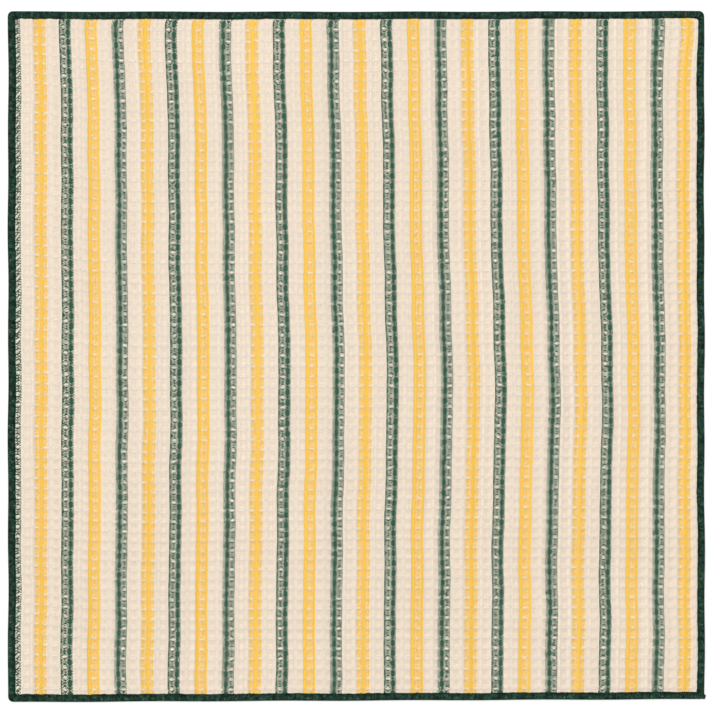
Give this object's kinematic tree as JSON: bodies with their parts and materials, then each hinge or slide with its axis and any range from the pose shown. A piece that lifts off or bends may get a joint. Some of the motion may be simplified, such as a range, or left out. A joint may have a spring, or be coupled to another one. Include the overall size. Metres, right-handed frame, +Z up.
{
  "type": "golf towel",
  "caption": "Square waffle-weave golf towel with green and yellow stripes on cream and a dark green overlocked edge, flat, with a fold in half.",
  "frame": {"origin": "on the resting underside, below the middle of the towel", "axes": "+Z up out of the face of the towel, +X across the stripes, +Y along the stripes"},
  "size_m": [0.4064, 0.4026, 0.0032],
  "materials": {
    "cream_yarn": "matte waffle-weave cotton, undyed cream warp on cream weft",
    "green_yarn": "matte waffle-weave cotton, dark green warp showing on cream weft",
    "yellow_yarn": "matte waffle-weave cotton, golden yellow warp showing on cream weft",
    "edging_thread": "low-sheen dark green overlock thread, dense slanted stitches"
  },
  "bodies": {
    "left_half": {"green_stripe_01": "green_yarn", "cream_band_01": "cream_yarn", "yellow_stripe_01": "yellow_yarn", "cream_band_02": "cream_yarn", "green_stripe_02": "green_yarn", "cream_band_03": "cream_yarn", "yellow_stripe_02": "yellow_yarn", "cream_band_04": "cream_yarn", "green_stripe_03": "green_yarn", "cream_band_05": "cream_yarn", "yellow_stripe_03": "yellow_yarn", "cream_band_06": "cream_yarn", "green_stripe_04": "green_yarn", "cream_band_07": "cream_yarn", "yellow_stripe_04": "yellow_yarn", "cream_band_08": "cream_yarn", "green_stripe_05": "green_yarn", "cream_band_09": "cream_yarn", "yellow_stripe_05": "yellow_yarn", "cream_band_10": "cream_yarn", "green_stripe_06": "green_yarn", "cream_band_11": "cream_yarn", "yellow_stripe_06": "yellow_yarn", "cream_band_12": "cream_yarn", "green_stripe_07": "green_yarn", "cream_band_13": "cream_yarn", "edging_left": "edging_thread", "edging_top_left": "edging_thread", "edging_bottom_left": "edging_thread"},
    "right_half": {"yellow_stripe_07": "yellow_yarn", "cream_band_14": "cream_yarn", "green_stripe_08": "green_yarn", "cream_band_15": "cream_yarn", "yellow_stripe_08": "yellow_yarn", "cream_band_16": "cream_yarn", "green_stripe_09": "green_yarn", "cream_band_17": "cream_yarn", "yellow_stripe_09": "yellow_yarn", "cream_band_18": "cream_yarn", "green_stripe_10": "green_yarn", "cream_band_19": "cream_yarn", "yellow_stripe_10": "yellow_yarn", "cream_band_20": "cream_yarn", "green_stripe_11": "green_yarn", "cream_band_21": "cream_yarn", "yellow_stripe_11": "yellow_yarn", "cream_band_22": "cream_yarn", "green_stripe_12": "green_yarn", "cream_band_23": "cream_yarn", "yellow_stripe_12": "yellow_yarn", "cream_band_24": "cream_yarn", "green_stripe_13": "green_yarn", "cream_band_25": "cream_yarn", "yellow_stripe_13": "yellow_yarn", "cream_band_26": "cream_yarn", "edging_right": "edging_thread", "edging_top_right": "edging_thread", "edging_bottom_right": "edging_thread"}
  },
  "joints": [
    {"name": "fold_in_half", "type": "hinge", "parent": "left_half", "child": "right_half", "pos_m": [0, 0, 0.00335], "axis": [0, -1, 0], "range_deg": [0, 180]}
  ]
}
